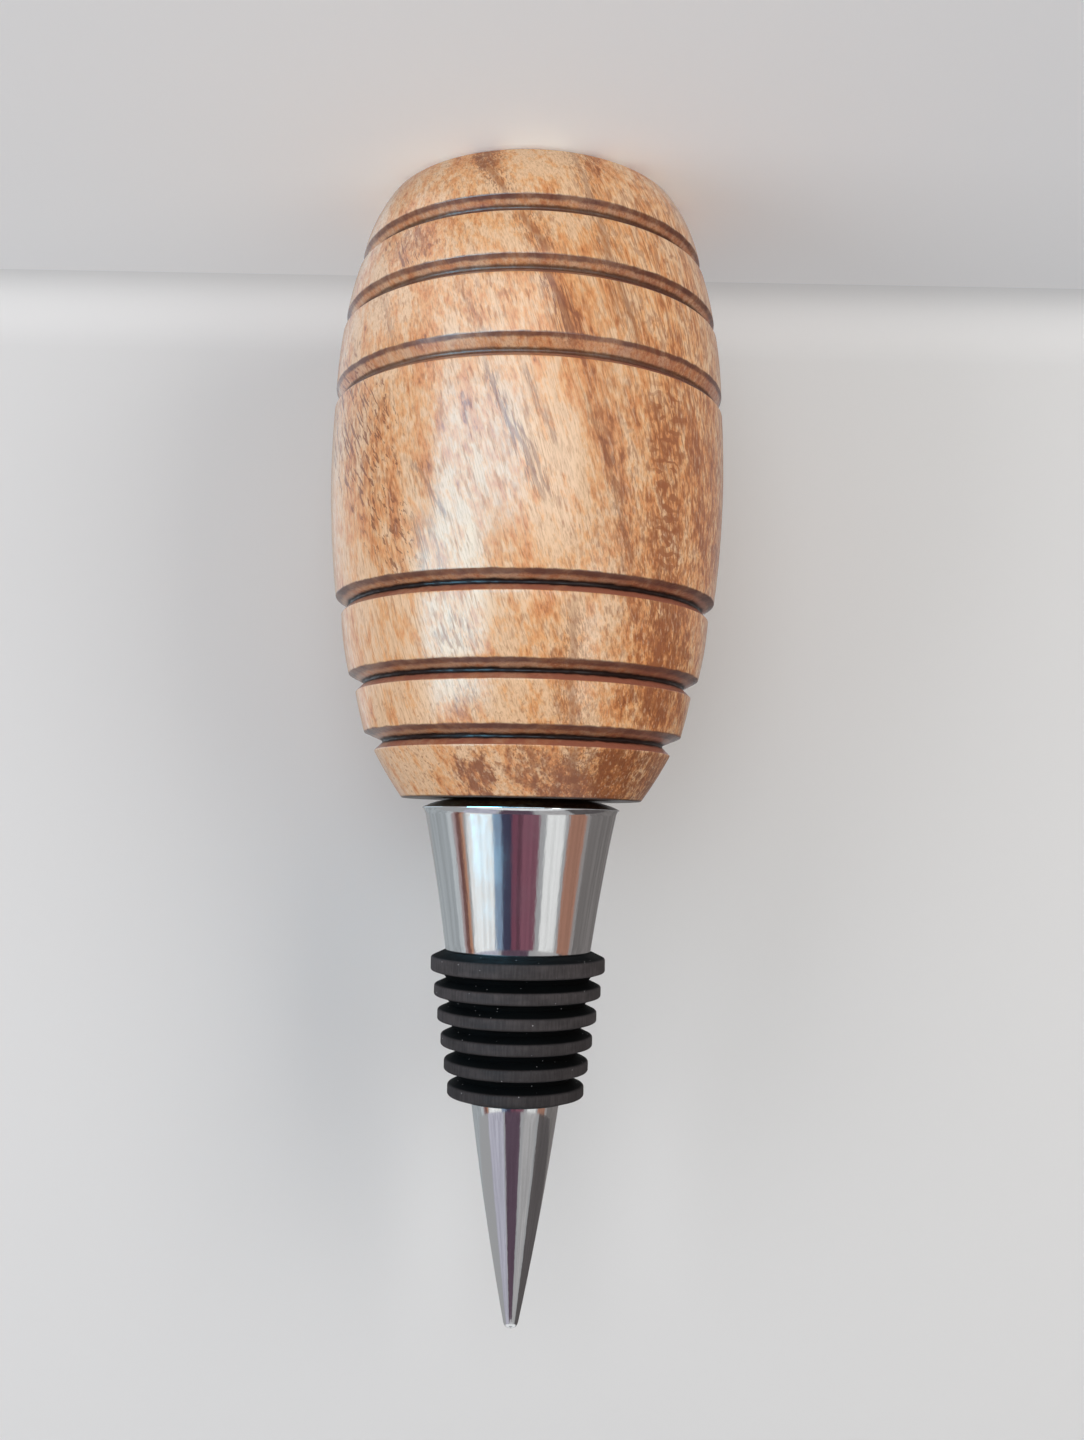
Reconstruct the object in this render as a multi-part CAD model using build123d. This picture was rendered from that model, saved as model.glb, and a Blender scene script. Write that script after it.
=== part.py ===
"""Bottle stopper with a turned wooden head, a chrome body, a ribbed sleeve and a threaded stud.

It stands on the flat face of its head, with the pointed tip up. The origin is the centre of that
face, Z runs along the axis of revolution, and all sizes are in millimetres.
"""

from build123d import *
import os

# Wooden head: the length of each turned band along the axis, from the flat face to the metal
CROWN_LENGTH = 7.3
FIRST_HOOP_LENGTH = 5.65
SECOND_HOOP_LENGTH = 7.25
BELLY_LENGTH = 24.1
THIRD_HOOP_LENGTH = 7.5
FOURTH_HOOP_LENGTH = 5.05
COLLAR_LENGTH = 5.9

# Wooden head: radius at the two ends of each band, and how far its middle stands proud of a cone
CROWN_START_RADIUS = 18.8
CROWN_END_RADIUS = 22.1
CROWN_BULGE = 0.45
FIRST_HOOP_START_RADIUS = 22.72
FIRST_HOOP_END_RADIUS = 24.0
FIRST_HOOP_BULGE = 0.1
SECOND_HOOP_START_RADIUS = 24.4
SECOND_HOOP_END_RADIUS = 25.05
SECOND_HOOP_BULGE = 0.11
BELLY_START_RADIUS = 25.17
BELLY_END_RADIUS = 24.33
BELLY_BULGE = 0.58
THIRD_HOOP_START_RADIUS = 23.59
THIRD_HOOP_END_RADIUS = 22.4
THIRD_HOOP_BULGE = 0.17
FOURTH_HOOP_START_RADIUS = 21.48
FOURTH_HOOP_END_RADIUS = 20.25
FOURTH_HOOP_BULGE = 0.06
COLLAR_START_RADIUS = 18.94
COLLAR_END_RADIUS = 15.3
COLLAR_BULGE = 0.12

# V-grooves between the bands, each with a burned channel along its bottom: two towards the flat
# face, a wide one beside the belly and three towards the collar
FACE_GROOVE_WIDTH = 2.35
FACE_GROOVE_NEAR_FACET = 1.3
BELLY_GROOVE_WIDTH = 2.8
BELLY_GROOVE_NEAR_FACET = 1.85
COLLAR_GROOVE_WIDTH = 2.3
COLLAR_GROOVE_NEAR_FACET = 1.2
GROOVE_DEPTH = 0.8
BURN_WIDTH = 0.6
BURN_DEPTH = 0.2

# Softened edges of the head
FACE_EDGE_ROUND = 2.6
COLLAR_EDGE_ROUND = 0.4
LIP_ROUND = 0.16

# Threaded stud, 3/8 inch, that joins the head to the metal
STUD_RADIUS = 4.76
STUD_IN_HEAD = 22.0
STUD_IN_METAL = 12.0
STUD_END_CHAMFER = 0.8
STUD_CLEARANCE = 0.05
DRILL_RUN_OUT = 2.5
DRILL_POINT_HEIGHT = 2.8
METAL_HOLE_LEAD_IN = 0.6

# Chrome body: domed rim under the head, cone, waist under the sleeve, and pointed tip
RIM_SEAT_RADIUS = 8.0
RIM_RADIUS = 12.6
RIM_DOME_HEIGHT = 1.1
RIM_LAND = 0.15
CONE_START_RADIUS = 12.45
CONE_END_RADIUS = 9.2
CONE_LENGTH = 17.9
CONE_HOLLOW = 0.17
WAIST_RADIUS = 5.0
TIP_SHOULDER = 0.6
TIP_END_RADIUS = 0.95
TIP_LENGTH = 28.1
TIP_BULGE = 0.22
TIP_NOSE_HEIGHT = 0.8

# Ribbed sleeve: the rims are the cylindrical crests of its ribs
RIB_COUNT = 6
RIB_GAP = 1.83
RIM_WIDTH = 1.25
FIRST_RIM_WIDTH = 1.65
FIRST_RIB_RADIUS = 11.05
LAST_RIB_RADIUS = 8.6
RIB_DEPTH = 1.6
RIB_TOP_FLANK = 0.75
RIB_LOW_FLANK = 0.5
RIB_EDGE_ROUND = 0.16
SLEEVE_CLEARANCE = 0.05

# What follows from the sizes above
FACE_GROOVE = (FACE_GROOVE_WIDTH, FACE_GROOVE_NEAR_FACET)
BELLY_GROOVE = (BELLY_GROOVE_WIDTH, BELLY_GROOVE_NEAR_FACET)
COLLAR_GROOVE = (COLLAR_GROOVE_WIDTH, COLLAR_GROOVE_NEAR_FACET)
BANDS = [
    (CROWN_LENGTH, CROWN_START_RADIUS, CROWN_END_RADIUS, CROWN_BULGE, FACE_GROOVE),
    (FIRST_HOOP_LENGTH, FIRST_HOOP_START_RADIUS, FIRST_HOOP_END_RADIUS, FIRST_HOOP_BULGE, FACE_GROOVE),
    (SECOND_HOOP_LENGTH, SECOND_HOOP_START_RADIUS, SECOND_HOOP_END_RADIUS, SECOND_HOOP_BULGE, BELLY_GROOVE),
    (BELLY_LENGTH, BELLY_START_RADIUS, BELLY_END_RADIUS, BELLY_BULGE, COLLAR_GROOVE),
    (THIRD_HOOP_LENGTH, THIRD_HOOP_START_RADIUS, THIRD_HOOP_END_RADIUS, THIRD_HOOP_BULGE, COLLAR_GROOVE),
    (FOURTH_HOOP_LENGTH, FOURTH_HOOP_START_RADIUS, FOURTH_HOOP_END_RADIUS, FOURTH_HOOP_BULGE, COLLAR_GROOVE),
    (COLLAR_LENGTH, COLLAR_START_RADIUS, COLLAR_END_RADIUS, COLLAR_BULGE, None),
]
STUD_HOLE_RADIUS = STUD_RADIUS + STUD_CLEARANCE
TIP_START_RADIUS = WAIST_RADIUS + TIP_SHOULDER


def mark(radius, height):
    """A point of an outline, at that radius and height in the plane through the axis."""
    return Vector(radius, 0, height)


def bowed(start, end, bulge):
    """An arc between two points whose middle stands off the straight line by the bulge."""
    middle = (start + end) * 0.5
    run = (end - start).normalized()
    outward = Vector(run.Z, 0, -run.X)
    return Edge.make_three_point_arc(start, middle + outward * bulge, end)


def chain(points):
    """Straight edges from each point to the next."""
    return [Edge.make_line(a, b) for a, b in zip(points, points[1:])]


def turned(edges):
    """The solid that a closed outline makes when it is turned about the axis."""
    return revolve(Face(Wire(edges)), axis=Axis.Z)


def circles_at(shape, points):
    """The circular edges of a turned shape that pass through any of the given outline points."""
    found = []
    for edge in shape.edges().filter_by(GeomType.CIRCLE):
        for point in points:
            same_height = abs(edge.arc_center.Z - point.Z) < 1e-4
            if same_height and abs(edge.radius - point.X) < 1e-4:
                found.append(edge)
    return found


def head_outline():
    """Outline of the wooden head up its outer side, with the lips of its grooves and its height."""
    edges = []
    lips = []
    height = 0.0
    for number, (length, start_radius, end_radius, bulge, groove) in enumerate(BANDS):
        start = mark(start_radius, height)
        end = mark(end_radius, height + length)
        edges.append(bowed(start, end, bulge))
        height += length
        if groove is None:
            break
        width, near_facet = groove
        next_radius = BANDS[number + 1][1]
        floor_radius = min(end_radius, next_radius) - GROOVE_DEPTH
        floor = height + near_facet
        before_burn = mark(floor_radius, floor - BURN_WIDTH / 2)
        burn = mark(floor_radius - BURN_DEPTH, floor)
        after_burn = mark(floor_radius, floor + BURN_WIDTH / 2)
        next_start = mark(next_radius, height + width)
        edges += chain([end, before_burn])
        edges.append(Edge.make_three_point_arc(before_burn, burn, after_burn))
        edges += chain([after_burn, next_start])
        lips += [end, next_start]
        height += width
    return edges, lips, height


def make_head(outline, lips, height):
    """Barrel-shaped head with a blind, drilled hole for the stud in its narrow end."""
    face_corner = mark(CROWN_START_RADIUS, 0)
    collar_corner = mark(COLLAR_END_RADIUS, height)
    closing = chain([collar_corner, mark(0, height), mark(0, 0), face_corner])
    head = turned(outline + closing)
    head = fillet(circles_at(head, [face_corner]), FACE_EDGE_ROUND)
    head = fillet(circles_at(head, [collar_corner]), COLLAR_EDGE_ROUND)
    head = fillet(circles_at(head, lips), LIP_ROUND)
    hole_floor = height - STUD_IN_HEAD - DRILL_RUN_OUT
    hole = chain([
        mark(0, height),
        mark(STUD_HOLE_RADIUS, height),
        mark(STUD_HOLE_RADIUS, hole_floor),
        mark(0, hole_floor - DRILL_POINT_HEIGHT),
        mark(0, height),
    ])
    return head - turned(hole)


def make_chrome_body(seat):
    """Rim, cone, waist and tip in one piece, from the face that seats on the head to the point."""
    dome_end = seat + RIM_DOME_HEIGHT
    cone_start = dome_end + RIM_LAND
    cone_end = cone_start + CONE_LENGTH
    tip_start = cone_end + sleeve_length()
    tip_end = tip_start + TIP_LENGTH - TIP_NOSE_HEIGHT
    point = mark(0, tip_end + TIP_NOSE_HEIGHT)
    cone_edge = mark(CONE_START_RADIUS, cone_start)
    cone_foot = mark(CONE_END_RADIUS, cone_end)
    tip_shoulder = mark(TIP_START_RADIUS, tip_start)
    tip_edge = mark(TIP_END_RADIUS, tip_end)
    rim = mark(RIM_RADIUS, dome_end)
    seat_edge = mark(RIM_SEAT_RADIUS, seat)
    outline = [
        Edge.make_line(mark(0, seat), seat_edge),
        Edge.make_tangent_arc(seat_edge, Vector(1, 0, 0), rim),
        *chain([rim, mark(RIM_RADIUS, cone_start), cone_edge]),
        bowed(cone_edge, cone_foot, -CONE_HOLLOW),
        *chain([cone_foot, mark(WAIST_RADIUS, cone_end), mark(WAIST_RADIUS, tip_start), tip_shoulder]),
        bowed(tip_shoulder, tip_edge, TIP_BULGE),
        Edge.make_tangent_arc(point, Vector(1, 0, 0), tip_edge),
        Edge.make_line(point, mark(0, seat)),
    ]
    body = turned(outline)
    hole_floor = seat + STUD_IN_METAL
    hole = chain([
        mark(0, seat),
        mark(STUD_HOLE_RADIUS + METAL_HOLE_LEAD_IN, seat),
        mark(STUD_HOLE_RADIUS, seat + METAL_HOLE_LEAD_IN),
        mark(STUD_HOLE_RADIUS, hole_floor),
        mark(0, hole_floor),
        mark(0, seat),
    ])
    return body - turned(hole)


def sleeve_length():
    """Length of the sleeve, from the cone to the tip: its rims, the gaps between them and both ends."""
    rims = FIRST_RIM_WIDTH + RIM_WIDTH * (RIB_COUNT - 1)
    gaps = RIB_GAP * (RIB_COUNT - 1)
    return RIB_TOP_FLANK + rims + gaps + RIB_LOW_FLANK


def make_sleeve(seat):
    """Silicone sleeve whose ribs get smaller towards the tip, between the cone and the tip."""
    radius_step = (FIRST_RIB_RADIUS - LAST_RIB_RADIUS) / (RIB_COUNT - 1)
    bore = WAIST_RADIUS + SLEEVE_CLEARANCE
    points = [mark(bore, seat)]
    rims = []
    rim_start = seat + RIB_TOP_FLANK
    rim_width = FIRST_RIM_WIDTH
    for number in range(RIB_COUNT):
        rim_radius = FIRST_RIB_RADIUS - number * radius_step
        root_radius = rim_radius - RIB_DEPTH
        rim_end = rim_start + rim_width
        rim = [mark(rim_radius, rim_start), mark(rim_radius, rim_end)]
        before = mark(root_radius, rim_start - RIB_TOP_FLANK)
        after = mark(root_radius, rim_end + RIB_LOW_FLANK)
        points += [before, *rim, after]
        rims += rim
        rim_start = rim_end + RIB_GAP
        rim_width = RIM_WIDTH
    points += [mark(bore, seat + sleeve_length()), mark(bore, seat)]
    sleeve = turned(chain(points))
    return fillet(circles_at(sleeve, rims), RIB_EDGE_ROUND)


def make_stud(seat):
    """Stud with chamfered ends, seated on the floor of the hole in the metal."""
    low = seat - STUD_IN_HEAD
    high = seat + STUD_IN_METAL
    crest = STUD_RADIUS
    end_radius = crest - STUD_END_CHAMFER
    return turned(
        chain([
            mark(0, low),
            mark(end_radius, low),
            mark(crest, low + STUD_END_CHAMFER),
            mark(crest, high - STUD_END_CHAMFER),
            mark(end_radius, high),
            mark(0, high),
            mark(0, low),
        ])
    )


head_edges, head_lips, head_height = head_outline()
sleeve_seat = head_height + RIM_DOME_HEIGHT + RIM_LAND + CONE_LENGTH

parts = {
    "barrel_head": make_head(head_edges, head_lips, head_height),
    "threaded_stud": make_stud(head_height),
    "chrome_stopper": make_chrome_body(head_height),
    "ribbed_sleeve": make_sleeve(sleeve_seat),
}

os.makedirs("parts", exist_ok=True)
for name, shape in parts.items():
    export_step(shape, f"parts/{name}.step")
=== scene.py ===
"""Looks of a bottle stopper: turned wooden head, chrome body, ribbed sleeve and threaded stud.

The stopper stands on the flat face of its head with its point up, and Z runs along its axis. The lists
of bands, grooves, streaks, lamps and cards are in millimetres and degrees. The panel's sizes are in metres.
"""

import math
from collections import namedtuple
from types import SimpleNamespace

import bmesh
import bpy
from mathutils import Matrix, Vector


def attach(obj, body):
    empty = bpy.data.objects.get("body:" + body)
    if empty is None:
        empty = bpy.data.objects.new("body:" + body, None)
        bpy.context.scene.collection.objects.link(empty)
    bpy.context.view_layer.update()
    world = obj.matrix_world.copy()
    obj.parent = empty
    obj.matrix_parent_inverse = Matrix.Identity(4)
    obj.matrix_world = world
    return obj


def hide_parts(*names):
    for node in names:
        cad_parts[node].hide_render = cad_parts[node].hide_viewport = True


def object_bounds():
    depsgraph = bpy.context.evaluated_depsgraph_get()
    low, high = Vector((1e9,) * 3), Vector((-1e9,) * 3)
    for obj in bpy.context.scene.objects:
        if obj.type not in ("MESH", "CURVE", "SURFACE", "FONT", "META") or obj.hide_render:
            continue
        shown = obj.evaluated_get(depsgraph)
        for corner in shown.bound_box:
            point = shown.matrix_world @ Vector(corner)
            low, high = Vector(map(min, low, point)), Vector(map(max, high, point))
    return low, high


bl_info = {
    "name": "Turned bottle stopper",
    "version": (1, 0, 0),
    "blender": (4, 5, 0),
    "location": "3D View > Sidebar > Stopper",
    "description": "Models and finishes a turned bottle stopper piece by piece",
    "category": "Add Mesh",
}

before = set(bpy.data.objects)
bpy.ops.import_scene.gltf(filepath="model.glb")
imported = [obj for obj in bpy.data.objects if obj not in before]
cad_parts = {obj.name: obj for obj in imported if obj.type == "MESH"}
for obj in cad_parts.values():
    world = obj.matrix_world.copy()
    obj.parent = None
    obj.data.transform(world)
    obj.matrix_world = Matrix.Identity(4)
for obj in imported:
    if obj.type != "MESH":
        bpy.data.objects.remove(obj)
CAD_BOX = [list(corner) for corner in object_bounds()]

MM = 0.001
BODY = "root"

# Steps of the turned pieces
TURN_STEPS = 192
BOW_STEPS = 14
NOSE_STEPS = 8
CORNER_STEPS = 5
SMOOTH_ANGLE = math.radians(32)
SAME_PLACE = 0.002 * MM
SEAM = SAME_PLACE / 10

# The stud's thread: where its four corners lie along one turn, its steps a turn and the turns cut off
THREAD_SHARES = (0.25, 0.5625, 0.6875, 1)
THREAD_STEPS = 64
SPARE_TURNS = 4

# The Mix node's sockets for a factor and two colours, and for their mix, which share their names with others
MIX_INPUTS = (0, 6, 7)
MIX_RESULT = 2

# Layout of the nodes in the editor
NODE_ROWS = 8
NODE_WIDTH = 220
NODE_HEIGHT = 260

# Height of the first rib's rim and the way from it to the last one's, in millimetres
SLEEVE_START = 97.9
SLEEVE_SPAN = 15.6

# How much darker a groove is toasted than its line is burned
TOAST_GAIN = 1.35

# Stage, in metres
FLOOR_SIDES, FLOOR_RADIUS = 96, 2
WALL_HALF_WIDTH, WALL_HEIGHT, WALL_LIFT = 1.5, 1.5, 0.02 * MM
STAGE_ROUGHNESS = 0.9
CLIP_START = 5 * MM

# Height of the backdrop's glow in radii of its cove, and the rays that don't see the stage's surfaces
GLOW_HEIGHT = 1.2
CATCHES_LIGHT_ONLY = ("diffuse", "glossy", "shadow", "transmission")

# A turned band of the head, from the flat face upwards
Band = namedtuple("Band", "length start_radius end_radius bulge")
# A V-groove after a band: its width, the facet on that band's side, and how black it is burned
Groove = namedtuple("Groove", "width near_facet char")
# A dark streak in the wood, placed across and along the fibres, with its drift for each mm along
Streak = namedtuple("Streak", "across along half_length half_width drift strength")
# A patch with closer flecks, or a pale one where its strength is below nought
Shade = namedtuple("Shade", "across along half_width half_length strength")
# A soft lamp aimed at the stopper's middle: degrees left of and above the view, metres and watts
Lamp = namedtuple("Lamp", "name azimuth elevation distance width height power colour")
# A card that only shows in reflections: its span in degrees round and in millimetres up, and its colour
Card = namedtuple("Card", "name start end low high colour")

CROWN = Band(7.3, 18.8, 22.1, 0.45)
FIRST_HOOP = Band(5.65, 22.72, 24, 0.1)
SECOND_HOOP = Band(7.25, 24.4, 25.05, 0.11)
BELLY = Band(24.1, 25.17, 24.33, 0.56)
THIRD_HOOP = Band(7.5, 23.59, 22.4, 0.17)
FOURTH_HOOP = Band(5.05, 21.48, 20.25, 0.06)
COLLAR = Band(5.9, 18.94, 15.3, 0.12)
BANDS = (CROWN, FIRST_HOOP, SECOND_HOOP, BELLY, THIRD_HOOP, FOURTH_HOOP, COLLAR)

FACE_GROOVE = Groove(2.35, 1.3, 0.75)
BELLY_GROOVE = Groove(2.8, 1.85, 0.72)
COLLAR_GROOVE = Groove(2.3, 1.2, 1)
GROOVES = (FACE_GROOVE, FACE_GROOVE, BELLY_GROOVE, COLLAR_GROOVE, COLLAR_GROOVE, COLLAR_GROOVE)

STREAKS = [Streak(*row) for row in (
    (5.4, 2.9, 4.5, 0.75, -0.25, 0.7),
    (-4.9, 14, 17, 0.75, -0.03, 0.55),
    (2.9, 12.2, 4, 0.8, -0.22, 0.7),
    (2.45, 21.4, 6.5, 0.85, -0.085, 0.9),
    (21.8, 16, 5, 0.4, 0, 0.4),
    (12.2, 19.5, 4.5, 0.45, -0.17, 0.45),
    (11.1, 34, 11, 0.45, -0.125, 0.75),
    (9.9, 38.5, 6, 0.3, -0.14, 0.7),
    (7.7, 32.5, 6.5, 0.35, -0.11, 0.6),
    (1.9, 42.5, 13, 0.45, -0.02, 0.55),
    (22.1, 38, 5, 0.35, -0.3, 0.65),
    (24.9, 44, 4.5, 0.28, 0, 0.6),
    (23.1, 44.5, 4.5, 0.28, -0.05, 0.55),
    (12, 63.5, 11, 0.9, 0.26, 0.55),
    (14.6, 73.5, 4, 1.1, 0.2, 0.8),
)]

SHADES = [Shade(*row) for row in (
    (28.6, 27, 4.5, 13, 0.42),
    (27.5, 41, 4, 8, 0.3),
    # Darker along the belly's right edge: closer-flecked wood, and painted shade at that edge
    (-11, 44, 5, 18, 0.25),
    (1, 41, 1.8, 11, 0.28),
    (5.6, 0.2, 2, 2.4, 0.8),
    (-6.5, 3.4, 1.2, 3.6, 0.6),
    (16.6, 7.6, 3.2, 3.2, 0.55),
    (11.7, 19, 1.8, 4, 0.3),
    (1.2, 61, 4, 12, 0.38),
    (13.2, 66.5, 1.5, 9, 0.45),
    (3, 67, 4.5, 3.8, 0.6),
    (-1, 58, 3, 6.5, 0.7),
    (25.6, 70.6, 2.8, 3.4, 1.1),
    (11, 74.5, 11, 4.6, 0.85),
    (6.5, 75, 4.5, 4.2, 0.95),
    (19, 71, 3.5, 3.2, 0.7),
    (1.7, 3.3, 5, 3.5, -0.6),
    (5.2, 11, 3.5, 3.2, -0.6),
    (4.5, 36, 2.2, 8, -0.35),
    (8.4, 18.4, 3.5, 3, 0.25),
    # Painted shade: darker patches under the highlights on the fourth and third hoops, toning those
    # highlights down
    (24.5, 62.4, 2.6, 2.6, 0.4),
    (23.3, 54, 2.6, 3.5, 0.35),
)]

LAMPS = [Lamp(*row) for row in (
    ("window_lamp", 62, 8, 0.45, 0.3, 0.4, 0.95, (0.98, 0.98, 1)),
    ("low_lamp", 6, -20, 0.9, 0.6, 0.4, 1.84, (1, 0.98, 0.98)),
    ("side_lamp", -48, -8, 0.45, 0.24, 0.4, 0.92, (1, 0.95, 0.88)),
)]

CARD_DISTANCE = 420
CARD_STEPS = 12
CARD_DIMMING = 0.72
CARD_GAIN = 1.14
CARD_GRAIN = (32, 32, 60)
CONE_LOW, CONE_HIGH = 213, 276
EDGE_LOW = 120
TIP_HIGH = 560
CEILING_HIGH = 1500
SHEEN = (2.1, 5.7, 7.9)
LOW_SHEEN = (1.7, 5.2, 7.7)
FAINT_SHEEN = (1.85, 2.1, 2.35)
FAR_SHEEN = (1.35, 1.45, 1.55)
WARM_SHEEN = (3.2, 3.4, 3.4)
CARDS = [Card(*row) for row in (
    ("window_sheen", 22, 62, 18, CONE_LOW, SHEEN),
    ("low_window_sheen", 2, 50, -130, 18, LOW_SHEEN),
    ("sill_sheen", -28, 2, -120, 40, (2.1, 2.8, 3.2)),
    ("table_sheen", -15, 60, -340, -130, FAINT_SHEEN),
    ("far_sheen", 60, 105, -460, -150, FAR_SHEEN),
    ("door_sheen", -46, -36, 60, CONE_LOW, WARM_SHEEN),
    ("ceiling_card", -178, 178, TIP_HIGH, CEILING_HIGH, (0.8, 0.81, 0.82)),
    ("left_card", 101, 178, EDGE_LOW, CONE_HIGH, (0.35, 0.375, 0.39)),
    ("orange_edge_card", 74, 78.5, EDGE_LOW, CONE_HIGH, (0.42, 0.22, 0.14)),
    ("brown_card", 78.5, 86, EDGE_LOW, CONE_HIGH, (0.17, 0.08, 0.07)),
    ("mauve_edge_card", 86, 91, EDGE_LOW, CONE_HIGH, (0.36, 0.27, 0.27)),
    ("pale_edge_card", 91, 101, EDGE_LOW, CONE_HIGH, (0.5, 0.53, 0.55)),
    ("edge_sheen", 100, 150, -300, 110, (0.72, 0.84, 0.93)),
    ("window_card", 34, 70, CONE_LOW, CONE_HIGH, (0.82, 0.82, 0.81)),
    ("blue_card", 23, 34, CONE_LOW, CONE_HIGH, (0.2, 0.26, 0.36)),
    ("navy_card", 10, 23, CONE_LOW, CONE_HIGH, (0.05, 0.048, 0.085)),
    ("first_mauve_card", 3, 10, CONE_LOW, CONE_HIGH, (0.17, 0.06, 0.09)),
    ("second_mauve_card", -3, 3, CONE_LOW, CONE_HIGH, (0.11, 0.045, 0.065)),
    ("third_mauve_card", -25, -3, CONE_LOW, CONE_HIGH, (0.2, 0.08, 0.11)),
    ("door_card", -58, -33, CONE_LOW, CONE_HIGH, (0.74, 0.74, 0.73)),
    ("orange_card", -88, -63, EDGE_LOW, CONE_HIGH, (0.34, 0.175, 0.125)),
    ("warm_edge_card", -93, -88, EDGE_LOW, CONE_HIGH, (0.3, 0.27, 0.26)),
    ("shade_card", -165, -94, 60, CONE_HIGH, (0.18, 0.165, 0.16)),
    ("tip_window_card", 30, 78, CONE_HIGH, TIP_HIGH, (0.44, 0.43, 0.5)),
    ("tip_mauve_card", -17, 26, CONE_HIGH, TIP_HIGH, (0.1, 0.065, 0.09)),
    ("tip_door_card", -62, -26, CONE_HIGH, TIP_HIGH, (0.4, 0.39, 0.39)),
    ("tip_shade_card", -165, -70, CONE_HIGH, TIP_HIGH, (0.1, 0.09, 0.09)),
)]


def label(name):
    """A setting's or input's name as it is shown."""
    return name.replace("_", " ").capitalize()


def size(description, millimetres):
    """A length in metres whose default is given in millimetres."""
    return bpy.props.FloatProperty(
        description=description, default=millimetres * MM, min=0, unit="LENGTH", precision=5
    )


def turn(description, degrees):
    """An angle in radians whose default is given in degrees."""
    return bpy.props.FloatProperty(
        description=description, default=math.radians(degrees), subtype="ANGLE", unit="ROTATION"
    )


def paint(description, colour):
    """A colour in linear red, green and blue."""
    return bpy.props.FloatVectorProperty(
        description=description, default=colour, size=3, min=0, max=1, subtype="COLOR"
    )


class HeadSettings(bpy.types.PropertyGroup):
    """Edges, grooves, drilled hole and wood of the head."""

    groove_depth: size("Depth of a groove below its lower lip", 0.8)
    burn_width: size("Width of the burned channel along a groove", 0.6)
    burn_depth: size("Depth of the burned channel below the groove's floor", 0.2)
    face_round: size("Radius of the edge round the flat face", 2.6)
    collar_round: size("Radius of the edge beside the metal", 0.4)
    lip_round: size("Radius of the lips of the grooves", 0.16)
    hole_radius: size("Radius of the hole for the stud", 4.81)
    hole_depth: size("Depth of the hole's straight wall", 24.5)
    hole_point: size("Height of the cone that the drill leaves", 2.8)
    lean: turn("Angle between the fibres and the axis", 16)
    side_lean: turn("Lean of the dark lines on one side", 13.5)
    side_tip: turn("How far those lines tip towards the front", -33)
    pale_wood: paint("Colour of the palest wood", (0.85, 0.565, 0.335))
    golden_wood: paint("Colour of most of the wood", (0.82, 0.43, 0.185))
    orange_wood: paint("Colour of the warm wood", (0.7, 0.275, 0.088))
    brown_wood: paint("Colour of the darker wood and its flecks", (0.33, 0.105, 0.034))
    dark_wood: paint("Colour of the streaks", (0.23, 0.072, 0.024))
    toasted_wood: paint("Colour of a groove beside its burned line", (0.33, 0.115, 0.07))
    scorched_wood: paint("Colour of a groove's lip", (0.11, 0.034, 0.022))
    # Burned colour, also used for the painted shade at the end against the metal
    burned_wood: paint("Colour of the burned lines", (0.016, 0.006, 0.004))


class ChromeSettings(bpy.types.PropertyGroup):
    """Sizes and finish of the chrome body."""

    seat_radius: size("Radius of the face against the head", 8)
    rim_radius: size("Largest radius of the domed rim", 12.6)
    dome_height: size("Height of the rim's dome", 1.1)
    rim_land: size("Width of the rim's straight edge", 0.15)
    flare_start: size("Radius of the flare beside the rim", 12.48)
    flare_length: size("Length of the flare between rim and cone", 0.9)
    flare_hollow: size("How far the flare bows in", 0.05)
    cone_start: size("Radius of the cone beside the flare", 12.14)
    cone_end: size("Radius of the cone beside the sleeve", 9.2)
    cone_length: size("Length of the flare and cone", 17.9)
    cone_hollow: size("How far the cone bows in", 0.14)
    waist_radius: size("Radius of the waist inside the sleeve", 5)
    tip_shoulder: size("How far the tip stands out from the waist", 0.6)
    tip_end: size("Radius of the tip below its nose", 0.95)
    tip_length: size("Length of the tip", 28.1)
    tip_bulge: size("How far the tip bows out", 0.22)
    nose_height: size("Height of the rounded nose", 0.8)
    edge_round: size("Radius of the polished edges", 0.06)
    hole_radius: size("Radius of the hole for the stud", 4.81)
    hole_depth: size("Depth of the hole for the stud", 12)
    hole_lead_in: size("Chamfer at the mouth of the hole", 0.6)
    plate: paint("Colour of the chrome plate", (0.86, 0.87, 0.88))
    speck: paint("Colour of the specks on the plate", (0.3, 0.3, 0.3))


class SleeveSettings(bpy.types.PropertyGroup):
    """Sizes and finish of the ribbed sleeve."""

    rib_count: bpy.props.IntProperty(description="Number of ribs", default=6, min=2, max=12)
    rib_gap: size("Distance from one rim to the next", 1.83)
    rim_width: size("Width of a rib's rim", 1.25)
    first_rim_width: size("Width of the rim beside the cone", 1.65)
    first_radius: size("Radius of the rib beside the cone", 11.05)
    last_radius: size("Radius of the rib beside the tip", 8.6)
    rib_depth: size("Depth of the gaps between ribs", 1.6)
    top_flank: size("Slope of a rib's flank on the cone's side", 0.75)
    low_flank: size("Slope of a rib's flank on the tip's side", 0.5)
    edge_round: size("Radius of the ribs' edges", 0.28)
    bore: size("Radius of the hole round the waist", 5.05)
    silicone: paint("Colour of the silicone", (0.003, 0.003, 0.003))
    # The painted sheen on the rims of the ribs
    rim_sheen_silicone: paint("Colour where it is worn pale", (0.08, 0.071, 0.073))
    dust: paint("Colour of the dust specks", (0.5, 0.5, 0.52))


class StudSettings(bpy.types.PropertyGroup):
    """Sizes and finish of the threaded stud."""

    radius: size("Radius over the thread's crests", 4.74)
    pitch: size("Distance from one thread to the next", 1.5875)
    thread_depth: size("Depth of the thread", 0.95)
    in_head: size("How far the stud reaches into the head", 22)
    in_metal: size("How far the stud reaches into the metal", 12)
    chamfer: size("Chamfer at the stud's ends", 0.8)
    steel: paint("Colour of the steel", (0.5, 0.5, 0.51))
    stain: paint("Colour of the stains on the steel", (0.2, 0.19, 0.18))


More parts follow.
